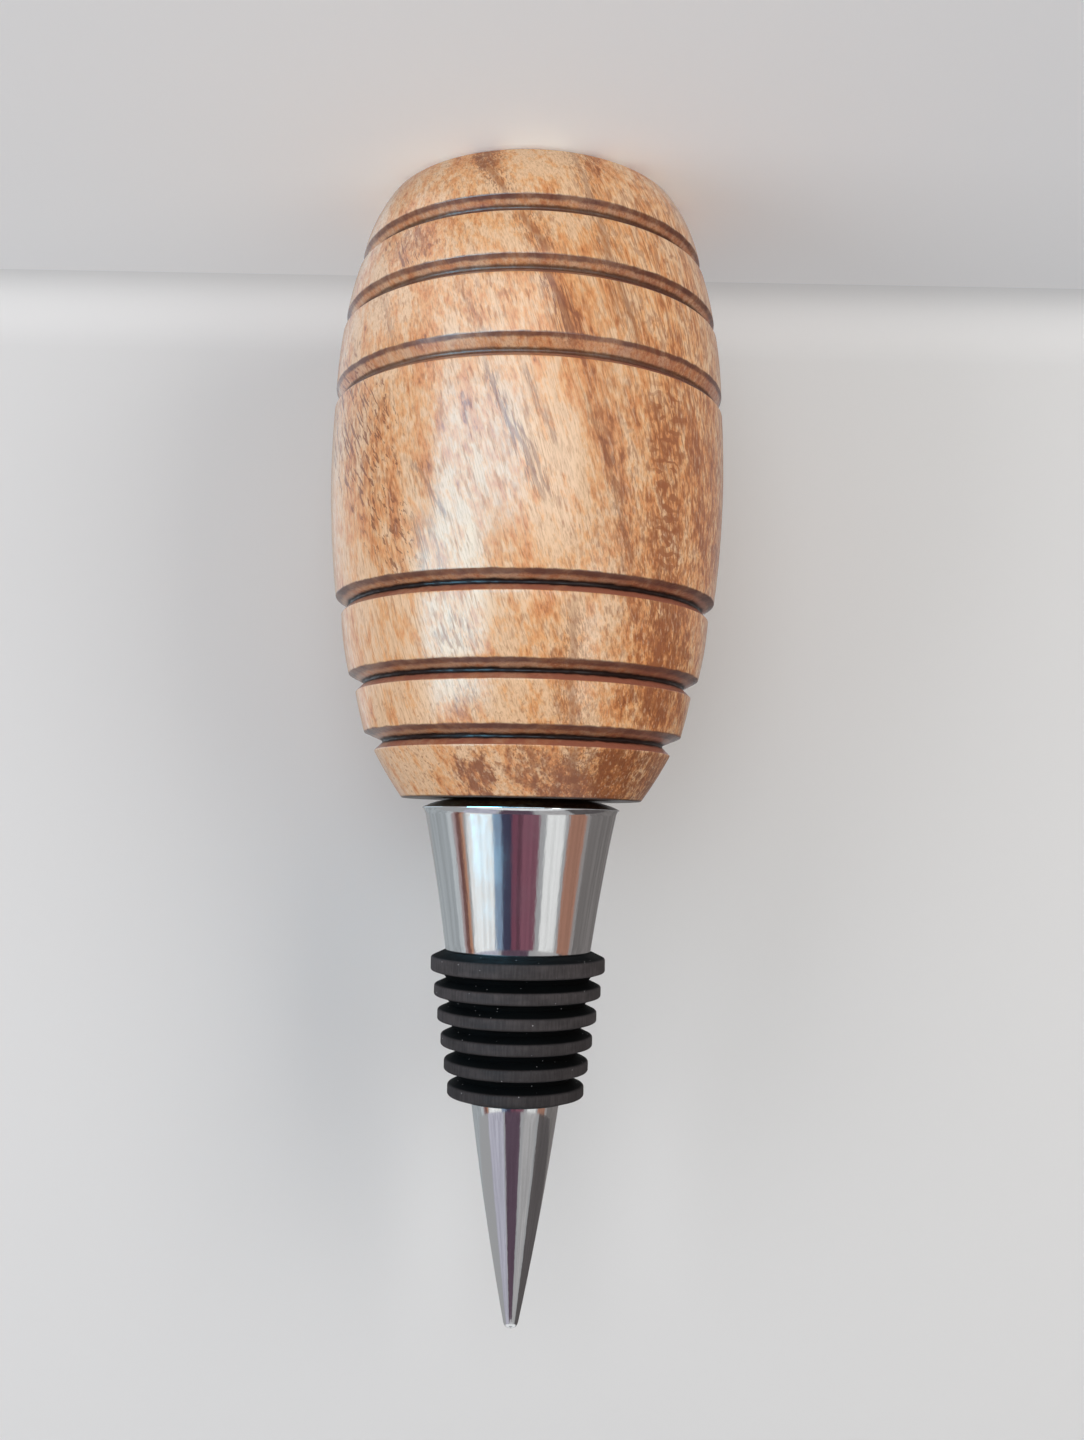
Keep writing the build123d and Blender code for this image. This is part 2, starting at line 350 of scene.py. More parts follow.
class StageSettings(bpy.types.PropertyGroup):
    """Floor, backdrop and camera."""

    floor: paint("Colour of the floor", (0.84, 0.85, 0.87))
    backdrop: paint("Colour of the backdrop", (0.72, 0.73, 0.74))
    glow: bpy.props.FloatProperty(description="How much paler the stage looks", default=0.16, min=0)
    surroundings: paint("Colour of the light from all round", (0.35, 0.35, 0.355))
    wall_distance: size("From the axis to the backdrop", 27)
    cove: size("Radius of the curve from floor to backdrop", 8)
    camera_distance: size("From the axis to the camera", 170.15)
    camera_height: size("Height of the camera", 80.648)
    camera_aside: size("How far the camera is to the left of the axis", 2.738)
    camera_pitch: turn("How far the camera looks down", 4.6569)
    camera_roll: turn("Roll past half a turn", -1.09175)
    lens: bpy.props.FloatProperty(
        description="Focal length in millimetres on a 36 mm sensor", default=33.085, unit="CAMERA"
    )


def select_nothing():
    """Leaves nothing selected and nothing active."""
    bpy.ops.object.select_all(action="DESELECT")
    bpy.context.view_layer.objects.active = None


def select_mesh():
    """Selects all of the piece in edit mode."""
    bpy.ops.mesh.select_all(action="SELECT")


def seal_mesh():
    """Joins the seams of the piece in edit mode, turns its faces outwards and leaves edit mode."""
    select_mesh()
    bpy.ops.mesh.remove_doubles(threshold=SEAM)
    bpy.ops.mesh.normals_make_consistent(inside=False)
    bpy.ops.object.mode_set(mode="OBJECT")


class Outline:
    """Half of a turned piece's section, drawn from point to point in the plane through the axis."""

    def __init__(self, name, radius, height):
        select_nothing()
        bpy.ops.mesh.primitive_plane_add(size=MM, location=(0, 0, 0))
        self.piece = bpy.context.object
        self.piece.name = name
        self.piece.data.name = name
        bpy.ops.object.mode_set(mode="EDIT")
        select_mesh()
        bpy.ops.mesh.merge(type="CENTER")
        bpy.ops.transform.translate(value=(radius, 0, height))
        self.here = Vector((radius, 0, height))
        self.corners = []

    def line_to(self, *points):
        """Straight lines from point to point, each a radius and a height."""
        for radius, height in points:
            there = Vector((radius, 0, height))
            bpy.ops.mesh.extrude_region_move(TRANSFORM_OT_translate={"value": there - self.here})
            self.here = there

    def arc_to(self, radius, height, bulge, steps=BOW_STEPS):
        """An arc to the next point, whose middle stands off the straight line by the bulge."""
        start = self.here.copy()
        chord = Vector((radius, 0, height)) - start
        along = chord.normalized()
        outward = Vector((along.z, 0, -along.x))
        half = chord.length / 2
        bow = (half**2 + bulge**2) / (2 * abs(bulge))
        half_angle = math.asin(half / bow)
        if abs(bulge) > half:
            half_angle = math.pi - half_angle
        rise = math.copysign(1, bulge)
        for number in range(1, steps + 1):
            angle = half_angle * (2 * number / steps - 1)
            forward = half + bow * math.sin(angle)
            aside = rise * bow * (math.cos(angle) - math.cos(half_angle))
            place = start + along * forward + outward * aside
            self.line_to((place.x, place.z))

    def soften(self, rounding):
        """Keeps this corner's place, to be rounded once its two sides are there."""
        self.corners.append((self.here.copy(), rounding))

    def close(self):
        """Joins the last point to the first."""
        select_mesh()
        bpy.ops.mesh.remove_doubles(threshold=SAME_PLACE)

    def round_corner(self, place, rounding):
        """Rounds one corner with an arc of that radius."""
        bpy.ops.mesh.select_all(action="DESELECT")
        shape = bmesh.from_edit_mesh(self.piece.data)
        corner = min(shape.verts, key=lambda vert: (vert.co - place).length)
        corner.select = True
        shape.select_flush_mode()
        first, second = [edge.other_vert(corner).co - corner.co for edge in corner.link_edges]
        reach = rounding * math.tan((math.pi - first.angle(second)) / 2)
        bmesh.update_edit_mesh(self.piece.data)
        bpy.ops.mesh.bevel(affect="VERTICES", offset=reach, segments=CORNER_STEPS, profile=0.5)

    def turned(self):
        """The closed piece that the outline makes when it is turned about the axis."""
        for place, rounding in self.corners:
            self.round_corner(place, rounding)
        select_mesh()
        bpy.ops.mesh.spin(steps=TURN_STEPS, angle=2 * math.pi, center=(0, 0, 0), axis=(0, 0, 1))
        seal_mesh()
        bpy.ops.object.shade_smooth_by_angle(angle=SMOOTH_ANGLE)
        apply_modifier(self.piece, "WEIGHTED_NORMAL", keep_sharp=True)
        return self.piece


def apply_modifier(piece, kind, **settings):
    """Adds a modifier with its settings and applies it."""
    select_nothing()
    piece.select_set(True)
    bpy.context.view_layer.objects.active = piece
    modifier = piece.modifiers.new(kind.title(), kind)
    for name, value in settings.items():
        setattr(modifier, name, value)
    bpy.ops.object.modifier_apply(modifier=modifier.name)


def place_piece(piece, node, slot, material):
    """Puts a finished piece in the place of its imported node, with its material."""
    if not piece.data.polygons:
        raise RuntimeError(piece.name + " has no faces")
    piece.data.materials.append(material)
    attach(piece, BODY)
    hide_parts(node)


def groove_floors():
    """Height of each groove's floor and of the head's end, in millimetres."""
    floors = []
    height = 0
    for band, groove in zip(BANDS, GROOVES):
        height += band.length
        floors.append(height + groove.near_facet)
        height += groove.width
    return floors, height + COLLAR.length


FLOORS, HEAD_LENGTH = groove_floors()
SEAT = HEAD_LENGTH * MM


def draw_groove(outline, settings, band, groove, following):
    """One V-groove with its burned channel, up to the next band's lip."""
    outline.soften(settings.lip_round)
    lip = outline.here.z
    floor = lip + groove.near_facet * MM
    floor_radius = min(band.end_radius, following.start_radius) * MM - settings.groove_depth
    half_burn = settings.burn_width / 2
    outline.line_to((floor_radius, floor - half_burn))
    outline.arc_to(floor_radius, floor + half_burn, -settings.burn_depth, CORNER_STEPS)
    outline.line_to((following.start_radius * MM, lip + groove.width * MM))
    outline.soften(settings.lip_round)


def model_head(settings):
    """Barrel-shaped head with six grooves and a drilled hole."""
    outline = Outline("barrel_head_wood", 0, 0)
    outline.line_to((CROWN.start_radius * MM, 0))
    outline.soften(settings.face_round)
    for number, band in enumerate(BANDS):
        outline.arc_to(band.end_radius * MM, outline.here.z + band.length * MM, band.bulge * MM)
        if number < len(GROOVES):
            draw_groove(outline, settings, band, GROOVES[number], BANDS[number + 1])
    outline.soften(settings.collar_round)
    hole_floor = SEAT - settings.hole_depth
    hole = settings.hole_radius
    outline.line_to((hole, SEAT), (hole, hole_floor), (0, hole_floor - settings.hole_point))
    return outline.turned()


def tangent_bulge(start, end, rise):
    """Bulge of the arc that leaves its start level and reaches the end, which lies that far above it."""
    run = end - start
    chord = math.hypot(run, rise)
    return chord / 2 * math.tan(math.atan2(rise, run) / 2)


def sleeve_length(sleeve):
    """Length of the sleeve from the cone to the tip."""
    later = sleeve.rib_count - 1
    rims = sleeve.first_rim_width + sleeve.rim_width * later
    return sleeve.top_flank + rims + sleeve.rib_gap * later + sleeve.low_flank


def model_chrome(settings, sleeve):
    """Rim, cone, waist and tip in one piece, with the hole for the stud."""
    dome_end = SEAT + settings.dome_height
    cone_start = dome_end + settings.rim_land
    cone_end = cone_start + settings.cone_length
    tip_start = cone_end + sleeve_length(sleeve)
    nose_start = tip_start + settings.tip_length - settings.nose_height
    hole_floor = SEAT + settings.hole_depth
    outline = Outline("chrome_stopper_plate", 0, hole_floor)
    hole, lead_in = settings.hole_radius, settings.hole_lead_in
    outline.line_to((hole, hole_floor), (hole, SEAT + lead_in), (hole + lead_in, SEAT))
    outline.line_to((settings.seat_radius, SEAT))
    dome = tangent_bulge(settings.seat_radius, settings.rim_radius, settings.dome_height)
    outline.arc_to(settings.rim_radius, dome_end, dome)
    outline.soften(settings.edge_round)
    outline.line_to((settings.rim_radius, cone_start))
    outline.soften(settings.edge_round)
    outline.line_to((settings.flare_start, cone_start))
    flare_end = cone_start + settings.flare_length
    outline.arc_to(settings.cone_start, flare_end, -settings.flare_hollow, NOSE_STEPS)
    outline.arc_to(settings.cone_end, cone_end, -settings.cone_hollow)
    outline.soften(settings.edge_round)
    waist = settings.waist_radius
    outline.line_to((waist, cone_end), (waist, tip_start), (waist + settings.tip_shoulder, tip_start))
    outline.soften(settings.edge_round)
    outline.arc_to(settings.tip_end, nose_start, settings.tip_bulge)
    nose = tangent_bulge(0, settings.tip_end, settings.nose_height)
    outline.arc_to(0, nose_start + settings.nose_height, nose, NOSE_STEPS)
    return outline.turned()


def model_sleeve(settings, chrome):
    """Sleeve whose ribs get smaller towards the tip."""
    seat = SEAT + chrome.dome_height + chrome.rim_land + chrome.cone_length
    step = (settings.first_radius - settings.last_radius) / (settings.rib_count - 1)
    end = seat + sleeve_length(settings)
    outline = Outline("ribbed_sleeve_silicone", settings.bore, seat)
    rim_start = seat + settings.top_flank
    rim_width = settings.first_rim_width
    for number in range(settings.rib_count):
        rim = settings.first_radius - number * step
        root = rim - settings.rib_depth
        rim_end = rim_start + rim_width
        outline.line_to((root, rim_start - settings.top_flank), (rim, rim_start))
        outline.soften(settings.edge_round)
        outline.line_to((rim, rim_end))
        outline.soften(settings.edge_round)
        outline.line_to((root, rim_end + settings.low_flank))
        rim_start = rim_end + settings.rib_gap
        rim_width = settings.rim_width
    outline.line_to((settings.bore, end), (settings.bore, seat))
    outline.close()
    return outline.turned()


def model_thread(settings, low, high):
    """A long screw of V-shaped thread, cut level at both ends."""
    pitch, crest = settings.pitch, settings.radius
    root = crest - settings.thread_depth
    start = low - 2 * pitch
    outline = Outline("threaded_stud_steel", root, start)
    for radius, share in zip((root, crest, crest, root), THREAD_SHARES):
        outline.line_to((radius, start + share * pitch))
    bpy.ops.object.mode_set(mode="OBJECT")
    piece = outline.piece
    turns = math.ceil((high - low) / pitch) + SPARE_TURNS
    apply_modifier(
        piece, "SCREW", axis="Z", angle=2 * math.pi, screw_offset=pitch, steps=THREAD_STEPS,
        iterations=turns, use_merge_vertices=True, merge_threshold=SAME_PLACE,
    )
    bpy.ops.object.mode_set(mode="EDIT")
    for height, upward in ((low, -1), (high, 1)):
        select_mesh()
        bpy.ops.mesh.bisect(
            plane_co=(0, 0, height), plane_no=(0, 0, upward), use_fill=True, clear_outer=True,
            threshold=SEAM,
        )
    seal_mesh()
    return piece


def model_stud(settings):
    """Threaded stud with chamfered ends."""
    low = SEAT - settings.in_head
    high = SEAT + settings.in_metal
    spare = settings.pitch / 8
    chamfer = settings.chamfer
    inner, outer = settings.radius - chamfer, settings.radius + spare
    thread = model_thread(settings, low, high)
    outline = Outline("chamfered_blank", 0, low)
    outline.line_to((inner, low), (outer, low + chamfer + spare))
    outline.line_to((outer, high - chamfer - spare), (inner, high), (0, high))
    blank = outline.turned()
    apply_modifier(thread, "BOOLEAN", operation="INTERSECT", solver="EXACT", object=blank)
    bpy.data.objects.remove(blank)
    bpy.ops.object.shade_smooth_by_angle(angle=SMOOTH_ANGLE)
    return thread


class Recipe:
    """Adds nodes to a shader tree, one call for each, and links what they are given."""

    def __init__(self, tree):
        self.tree = tree

    def add(self, kind, inputs=None, **settings):
        """A node with its settings and inputs."""
        count = len(self.tree.nodes)
        node = self.tree.nodes.new(kind)
        node.location = (count // NODE_ROWS * NODE_WIDTH, -(count % NODE_ROWS) * NODE_HEIGHT)
        for name, value in settings.items():
            setattr(node, name, value)
        return self.fill(node, inputs or {})

    def fill(self, node, inputs):
        """Feeds several inputs of a node by name."""
        for name, value in inputs.items():
            self.feed(node.inputs[name], value)
        return node

    def feed(self, socket, value):
        """Links an output to a socket, or sets the socket's own value."""
        if isinstance(value, bpy.types.NodeSocket):
            self.tree.links.new(value, socket)
        elif socket.type == "RGBA":
            socket.default_value = (*value, 1)
        else:
            socket.default_value = value

    def maths(self, operation, *values, clamp=False):
        """One sum."""
        node = self.add("ShaderNodeMath", operation=operation, use_clamp=clamp)
        for socket, value in zip(node.inputs, values):
            self.feed(socket, value)
        return node.outputs[0]

    def times(self, *values):
        """The product of masks."""
        result = values[0]
        for value in values[1:]:
            result = self.maths("MULTIPLY", result, value)
        return result

    def minus(self, first, second):
        """The difference of two values."""
        return self.maths("SUBTRACT", first, second)

    def apart(self, first, second):
        """How far two values are from each other."""
        return self.maths("ABSOLUTE", self.minus(first, second))

    def over(self, first, second):
        """The first value in units of the second."""
        return self.maths("DIVIDE", first, second)

    def reach(self, first, second):
        """Distance from nought over two values at right angles."""
        squares = self.maths("ADD", self.times(first, first), self.times(second, second))
        return self.maths("SQRT", squares)

    def scaled(self, value, factor, offset):
        """The value times the factor, on top of the offset."""
        return self.maths("MULTIPLY_ADD", value, factor, offset)

    def most(self, *values):
        """The strongest of masks."""
        result = values[0]
        for value in values[1:]:
            result = self.maths("MAXIMUM", result, value)
        return result

    def ease(self, value, low, high, start=0, end=1):
        """Goes smoothly from start at the low value to end at the high one."""
        inputs = {"Value": value, "From Min": low, "From Max": high, "To Min": start, "To Max": end}
        return self.add("ShaderNodeMapRange", inputs, interpolation_type="SMOOTHSTEP").outputs[0]

    def mix(self, factor, first, second):
        """Two colours in one."""
        node = self.add("ShaderNodeMix", data_type="RGBA")
        for number, value in zip(MIX_INPUTS, (factor, first, second)):
            self.feed(node.inputs[number], value)
        return node.outputs[MIX_RESULT]

    def ramp(self, value, *stops):
        """A colour from a row of places and colours."""
        node = self.add("ShaderNodeValToRGB", {"Fac": value})
        band = node.color_ramp.elements
        band[0].position, band[1].position = stops[0][0], stops[-1][0]
        band[0].color, band[1].color = (*stops[0][1], 1), (*stops[-1][1], 1)
        for place, colour in stops[1:-1]:
            band.new(place).color = (*colour, 1)
        return node.outputs[0]

    def split(self, vector):
        """The three numbers of a place."""
        return self.add("ShaderNodeSeparateXYZ", {"Vector": vector}).outputs

    def cloud(self, place, grain, detail=3, roughness=0.6, distortion=0):
        """Noise whose patches have that size along each axis, in millimetres."""
        grained = self.add("ShaderNodeVectorMath", operation="DIVIDE")
        self.feed(grained.inputs[0], place)
        self.feed(grained.inputs[1], grain)
        inputs = {
            "Vector": grained.outputs[0], "Scale": 1, "Detail": detail,
            "Roughness": roughness, "Distortion": distortion,
        }
        return self.add("ShaderNodeTexNoise", inputs).outputs[0]

    def swing(self, place, grain, *values):
        """The same noise, centred on nought."""
        return self.minus(self.cloud(place, grain, *values), 0.5)

    def bump(self, height, distance, strength):
        """Relief of that many millimetres."""
        inputs = {"Height": height, "Distance": distance * MM, "Strength": strength}
        return self.add("ShaderNodeBump", inputs).outputs[0]

    def millimetres(self, turned=0, tipped=0):
        """The piece's own place in millimetres, tipped about X and then turned about Y."""
        place = self.add("ShaderNodeTexCoord").outputs["Object"]
        inputs = {"Vector": place, "Rotation": (tipped, turned, 0), "Scale": (1 / MM, 1 / MM, 1 / MM)}
        return self.add("ShaderNodeMapping", inputs).outputs[0]

    def effect(self, group, **inputs):
        """One placing of a shared effect, with its own values."""
        node = self.add("ShaderNodeGroup", node_tree=group)
        return self.fill(node, {label(name): value for name, value in inputs.items()}).outputs

    def placings(self, group, place, items):
        """The masks of a shared effect at each item's own place, with each item's strength."""
        for item in items:
            values = item._asdict()
            strength = values.pop("strength")
            mask = self.effect(group, place=place, **values)[0]
            yield strength, self.times(mask, strength)


def new_effect(name, outputs, **values):
    """A node group that takes a place and named values: its recipe and the sockets they come from."""
    tree = bpy.data.node_groups.new(name, "ShaderNodeTree")
    tree.interface.new_socket(name="Place", in_out="INPUT", socket_type="NodeSocketVector")
    for item, default in values.items():
        socket = tree.interface.new_socket(name=label(item), in_out="INPUT", socket_type="NodeSocketFloat")
        socket.default_value = default
    for item in outputs:
        tree.interface.new_socket(name=item, in_out="OUTPUT", socket_type="NodeSocketFloat")
    recipe = Recipe(tree)
    sockets = recipe.add("NodeGroupInput").outputs
    return recipe, sockets["Place"], SimpleNamespace(**{item: sockets[label(item)] for item in values})


def finish_effect(recipe, outputs):
    """Links a group's results to its outputs."""
    recipe.add("NodeGroupOutput", outputs)
    return recipe.tree


def streak_effect():
    """A dark streak: a thin layer of the wood that follows the fibres and frays at its edges."""
    recipe, place, given = new_effect(
        "Dark streak", ["Mask"], across=0, along=0, half_length=5, half_width=0.5, drift=0
    )
    across, depth, along = recipe.split(place)
    lengthwise = recipe.minus(along, given.along)
    centre = recipe.scaled(lengthwise, given.drift, given.across)
    wander = recipe.swing(place, (5, 5, 7), 2, 0.5)
    wavy = recipe.scaled(wander, 2.2, across)
    aside = recipe.apart(wavy, centre)
    spread = recipe.over(aside, given.half_width)
    core = recipe.ease(spread, 0.15, 0.8, 0.8, 0)
    halo = recipe.ease(spread, 0.5, 3.2, 1, 0)
    reach = recipe.over(recipe.maths("ABSOLUTE", lengthwise), given.half_length)
    ends = recipe.ease(reach, 0.55, 1, 1, 0)
    fibres = recipe.cloud(place, (0.2, 0.2, 3.4))
    frayed = recipe.most(core, recipe.times(halo, recipe.ease(fibres, 0.48, 0.58, 0.05, 1)))
    front = recipe.ease(depth, -4, 8, 1, 0)
    return finish_effect(recipe, {"Mask": recipe.times(frayed, ends, front)})


def shade_effect():
    """A soft patch, longer along the fibres, with a ragged edge."""
    recipe, place, given = new_effect(
        "Shaded patch", ["Mask"], across=0, along=0, half_width=3, half_length=9
    )
    across, depth, along = recipe.split(place)
    aside = recipe.over(recipe.minus(across, given.across), given.half_width)
    lengthwise = recipe.over(recipe.minus(along, given.along), given.half_length)
    ragged = recipe.swing(place, (1.4, 1.4, 3.5))
    gap = recipe.scaled(ragged, 2.2, recipe.reach(aside, lengthwise))
    front = recipe.ease(depth, -4, 6, 1, 0)
    return finish_effect(recipe, {"Mask": recipe.times(recipe.ease(gap, 0.45, 1.25, 1, 0), front)})


def fleck_effect():
    """Short marks along the fibres, of a given width, length and thickness on the ground."""
    recipe, place, given = new_effect("Wood flecks", ["Mask"], width=0.25, length=2, cover=0.4, softness=0.1)
    grain = recipe.add("ShaderNodeCombineXYZ", {"X": given.width, "Y": given.width, "Z": given.length})
    marks = recipe.cloud(place, grain.outputs[0], 2, 0.55, 0.25)
    low = recipe.minus(1, given.cover)
    high = recipe.maths("ADD", low, given.softness)
    return finish_effect(recipe, {"Mask": recipe.ease(marks, low, high)})


def groove_effect():
    """A scorched groove: black along its floor, brown along its near lip and toasted between."""
    recipe, place, given = new_effect(
        "Scorched groove", ["Black", "Lip", "Toast"], height=0, near_lip=1.2, far_lip=1, half_burn=0.42
    )
    height = recipe.split(place)[2]
    ragged = recipe.swing(place, (1.6, 1.6, 0.9))
    uneven = recipe.ease(recipe.cloud(place, (3, 3, 3)), 0.35, 0.65, 0.7, 1)
    above = recipe.minus(height, given.height)
    below = recipe.times(above, -1)
    gap = recipe.scaled(ragged, 0.35, recipe.maths("ABSOLUTE", above))
    black = recipe.ease(recipe.over(gap, given.half_burn), 0.5, 1.15, 1, 0)
    past_lip = recipe.scaled(ragged, 0.4, recipe.minus(below, given.near_lip))
    lip = recipe.times(recipe.ease(past_lip, -0.62, -0.32), recipe.ease(past_lip, -0.02, 0.2, 1, 0), uneven)
    past_far = recipe.minus(above, given.far_lip)
    inside = recipe.times(recipe.ease(past_lip, -0.1, 0.1, 1, 0), recipe.ease(past_far, -0.15, 0.05, 1, 0))
    toast = recipe.times(inside, recipe.ease(above, -0.5, 0.3, 0.55, 1), uneven)
    return finish_effect(recipe, {"Black": black, "Lip": lip, "Toast": toast})


def ladder_effect():
    """Rungs across a column of the wood, as where the fibres weave in and out of the surface."""
    recipe, place, given = new_effect(
        "Ladder figure", ["Rungs", "Column"], across=0, along=0, half_width=2, half_length=12, spacing=1.3
    )
    across, depth, along = recipe.split(place)
    wander = recipe.swing(place, (2.2, 2.2, 2.6), 2, 0.5)
    wavy = recipe.scaled(wander, 2.4, along)
    rungs = recipe.maths("SINE", recipe.over(recipe.times(wavy, 2 * math.pi), given.spacing))
    broken = recipe.cloud(place, (1.9, 1.9, 1.1), 1, 0.5)
    mottle = recipe.ease(recipe.scaled(rungs, 0.16, broken), 0.56, 0.68)
    edge = recipe.scaled(wander, 3, recipe.minus(across, given.across))
    aside = recipe.over(recipe.maths("ABSOLUTE", edge), given.half_width)
    column = recipe.ease(aside, 0.2, 1, 1, 0)
    lengthwise = recipe.apart(along, given.along)
    ends = recipe.ease(recipe.over(lengthwise, given.half_length), 0.75, 1, 1, 0)
    front = recipe.ease(depth, -4, 4, 1, 0)
    column = recipe.times(column, ends, front)
    return finish_effect(recipe, {"Rungs": recipe.times(mottle, column), "Column": column})


def dust_effect():
    """A few scattered specks."""
    recipe, place, given = new_effect("Dust specks", ["Mask"], spacing=1, speck=0.1, share=0.3)
    scaled = recipe.add("ShaderNodeVectorMath", operation="SCALE")
    recipe.feed(scaled.inputs[0], place)
    recipe.feed(scaled.inputs["Scale"], recipe.over(1, given.spacing))
    cells = recipe.add("ShaderNodeTexVoronoi", {"Vector": scaled.outputs[0], "Scale": 1})
    spot = recipe.ease(cells.outputs["Distance"], recipe.times(given.speck, 0.5), given.speck, 1, 0)
    drawn = recipe.split(cells.outputs["Color"])[0]
    chosen = recipe.maths("LESS_THAN", drawn, given.share)
    return finish_effect(recipe, {"Mask": recipe.times(spot, chosen)})


def polish_effect():
    """Faint marks round the axis, left by polishing or turning."""
    recipe, place, given = new_effect("Turning marks", ["Height"], spacing=0.1)
    grain = recipe.add("ShaderNodeCombineXYZ", {"X": 40, "Y": 40, "Z": given.spacing})
    marks = recipe.cloud(place, grain.outputs[0])
    return finish_effect(recipe, {"Height": marks})


def new_material(name):
    """A material, the recipe of its tree and its shader."""
    material = bpy.data.materials.new(name)
    material.use_nodes = True
    tree = material.node_tree
    tree.nodes.clear()
    recipe = Recipe(tree)
    shader = recipe.add("ShaderNodeBsdfPrincipled")
    recipe.add("ShaderNodeOutputMaterial", {"Surface": shader.outputs[0]})
    return material, recipe, shader


def wood_material(settings):
    """Golden-brown figured wood under a clear gloss, with scorched grooves, and painted shade in some
    patches, along one side of the grooves and at the end against the metal.
    """
    material, recipe, shader = new_material("Turned wood under clear gloss")
    plain = recipe.millimetres()
    grain = recipe.millimetres(settings.lean)
    side_grain = recipe.millimetres(settings.side_lean, settings.side_tip)
    shade, groove, fleck = shade_effect(), groove_effect(), fleck_effect()
    side, _, height = recipe.split(plain)

    def flecks(place, width, length, cover, softness):
        values = {"place": place, "width": width, "length": length, "cover": cover, "softness": softness}
        return recipe.effect(fleck, **values)[0]

    # Darker patches, some of them painted shade, and the side of the blank whose wood is warmer and closer
    # flecked
    figure = {"across": -16.6, "along": 40, "half_width": 3, "half_length": 12.5}
    rungs, column = recipe.effect(ladder_effect(), place=plain, **figure)[:2]
    shades = list(recipe.placings(shade, grain, SHADES))
    darker = [mask for strength, mask in shades if strength > 0]
    paler = [mask for strength, mask in shades if strength < 0]
    patch = recipe.most(recipe.times(column, 0.45), *darker)
    warm = recipe.ease(side, -19, -4, 0.5, 0)
    density = recipe.maths("MINIMUM", recipe.maths("ADD", patch, warm), 1)
    for mask in paler:
        density = recipe.maths("ADD", density, mask)

    # Ground tone: slow drifts, clouds and a fine mottle
    slow = recipe.swing(grain, (6, 8, 42), 3, 0.55, 0.4)
    clouds = recipe.swing(grain, (2.1, 2.1, 6), 3, 0.55, 0.3)
    mottle = recipe.swing(grain, (0.7, 0.7, 1.8))
    tone = recipe.scaled(density, 0.33, 0.2)
    for noise, share in ((slow, 1.6), (clouds, 2), (mottle, 2)):
        tone = recipe.scaled(noise, share, tone)
    colour = recipe.ramp(
        tone,
        (0, settings.pale_wood), (0.33, settings.golden_wood),
        (0.7, settings.orange_wood), (1, settings.brown_wood),
    )

    # Fibres, blotches, stains, pale and dark flecks, and pores, one layer over the other
    brown, dark = settings.brown_wood, settings.dark_wood
    fibres = recipe.cloud(grain, (0.16, 0.16, 6))
    blotches = flecks(grain, 0.8, 2.8, recipe.scaled(density, 0.13, 0.4), 0.14)
    blotchy = recipe.ease(recipe.cloud(grain, (1, 1, 1.8)), 0.42, 0.56, 0.1, 1)
    curls = flecks(plain, 1, 1.4, 0.46, 0.12)
    spots = flecks(plain, 0.42, 0.6, 0.42, 0.1)
    marks = flecks(grain, 0.32, 2.9, recipe.scaled(density, 0.08, 0.45), 0.11)
    endwise = recipe.ease(height, 58, 72, 1, 0.45)
    layers = [
        (recipe.ease(fibres, 0.42, 0.66, 0, 0.3), brown),
        (recipe.times(blotches, recipe.scaled(density, 0.5, 0.34)), brown),
        (recipe.times(recipe.ease(patch, 0.25, 1, 0, 0.9), blotchy), dark),
        (recipe.times(curls, recipe.ease(side, -17, -4, 0.55, 0)), brown),
        (recipe.times(spots, recipe.ease(height, 58, 72, 0, 0.6)), brown),
        (recipe.times(flecks(grain, 0.4, 3, 0.46, 0.14), 0.42), settings.pale_wood),
        (recipe.times(marks, recipe.scaled(density, 0.35, 0.42), endwise), brown),
        (recipe.times(flecks(grain, 0.15, 1.1, 0.43, 0.08), 0.25), brown),
    ]

    # Dark lines in the patches, dark streaks and the ladder figure
    lines = flecks(grain, 0.24, 5, 0.46, 0.07)
    hatch = flecks(side_grain, 0.42, 4.6, 0.44, 0.05)
    hatched = recipe.ease(side, 9, 14)
    masks = [
        recipe.times(lines, recipe.minus(1, hatched), recipe.ease(patch, 0.1, 0.6, 0, 0.65)),
        recipe.times(hatch, hatched, recipe.ease(patch, 0.05, 0.35, 0, 0.85)),
    ]
    masks += [mask for strength, mask in recipe.placings(streak_effect(), grain, STREAKS)]
    layers += [(recipe.most(*masks), dark), (recipe.times(rungs, 0.85), brown)]

    # Scorched grooves, their toast painted darker towards one side as painted shade, and painted shade at
    # the end that sits against the metal
    burns_and_end_shade, lips, toasts = [], [], []
    for floor, item in zip(FLOORS, GROOVES):
        far_lip = item.width - item.near_facet
        placed = recipe.effect(groove, place=plain, height=floor, near_lip=item.near_facet, far_lip=far_lip)
        burns_and_end_shade.append(recipe.times(placed[0], item.char))
        lips.append(placed[1])
        toasts.append(recipe.times(placed[2], item.char * TOAST_GAIN))
    # The end against the metal is painted in the burned colour: painted shade in the crevice between head
    # and metal
    burns_and_end_shade.append(recipe.ease(height, HEAD_LENGTH - 0.3, HEAD_LENGTH - 0.05, 0, 0.9))
    black = recipe.most(*burns_and_end_shade)
    # Painted shade: the toast is made darker towards one side
    painted_side_shade = recipe.ease(side, -18, 0, 1.2, 0.8)
    toast = recipe.maths("MULTIPLY", recipe.most(*toasts), painted_side_shade, clamp=True)
    layers += [
        (toast, settings.toasted_wood),
        (recipe.times(recipe.most(*lips), 0.92), settings.scorched_wood),
        (black, settings.burned_wood),
    ]
    for mask, tint in layers:
        colour = recipe.mix(mask, colour, tint)

